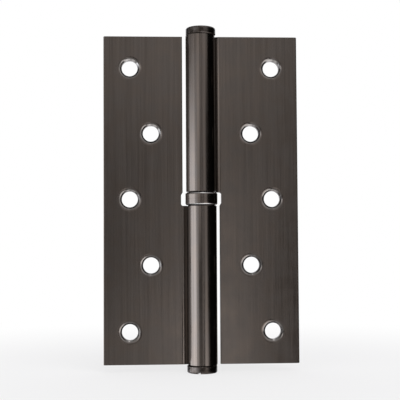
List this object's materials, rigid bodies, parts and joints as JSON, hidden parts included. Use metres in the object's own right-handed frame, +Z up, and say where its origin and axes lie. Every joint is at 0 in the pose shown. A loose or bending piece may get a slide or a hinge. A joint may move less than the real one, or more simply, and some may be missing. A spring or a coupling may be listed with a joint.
{
  "type": "lift-off hinge",
  "caption": "Upright lift-off butt hinge, opened flat: plated steel leaves with zigzag countersunk screw holes, knuckles rolled round a pin, a thrust bearing between them and capped ends.",
  "frame": {"origin": "on the pin axis at mid height, which is the centre of the bounding box", "axes": "+Z up along the pin, towards the knuckle that lifts off; +X towards the door leaf; -Y out of the countersunk faces"},
  "size_m": [0.0742, 0.0122, 0.1308],
  "materials": {
    "black_nickel": "satin, dark plated",
    "dark_oxide": "satin, blackened",
    "bright_steel": "ground"
  },
  "bodies": {
    "frame_side": {"frame_leaf": "black_nickel", "hinge_pin": "bright_steel", "bottom_cap": "dark_oxide", "bearing_shell": "black_nickel", "lower_race": "bright_steel"},
    "turning_race": {"upper_race": "bright_steel"},
    "ball_set": {"bearing_ball_01": "bright_steel", "bearing_ball_02": "bright_steel", "bearing_ball_03": "bright_steel", "bearing_ball_04": "bright_steel", "bearing_ball_05": "bright_steel", "bearing_ball_06": "bright_steel", "bearing_ball_07": "bright_steel", "bearing_ball_08": "bright_steel", "bearing_ball_09": "bright_steel", "bearing_ball_10": "bright_steel", "bearing_ball_11": "bright_steel", "bearing_ball_12": "bright_steel", "bearing_ball_13": "bright_steel"},
    "door_side": {"door_leaf": "black_nickel", "top_cap": "dark_oxide"}
  },
  "joints": [
    {"name": "swing", "type": "hinge", "parent": "frame_side", "child": "turning_race", "pos_m": [0, 0, 0], "axis": [0, 0, -1], "range_deg": [-118, 180]},
    {"name": "lift_off", "type": "slide", "parent": "turning_race", "child": "door_side", "axis": [0, 0, 1], "range_m": [0, 0.06]},
    {"name": "ball_roll", "type": "hinge", "parent": "frame_side", "child": "ball_set", "pos_m": [0, 0, 0], "axis": [0, 0, -1], "range_deg": [-59, 90]}
  ],
  "couplings": [
    {"joint": "ball_roll", "follows": "swing", "ratio": 0.5}
  ]
}
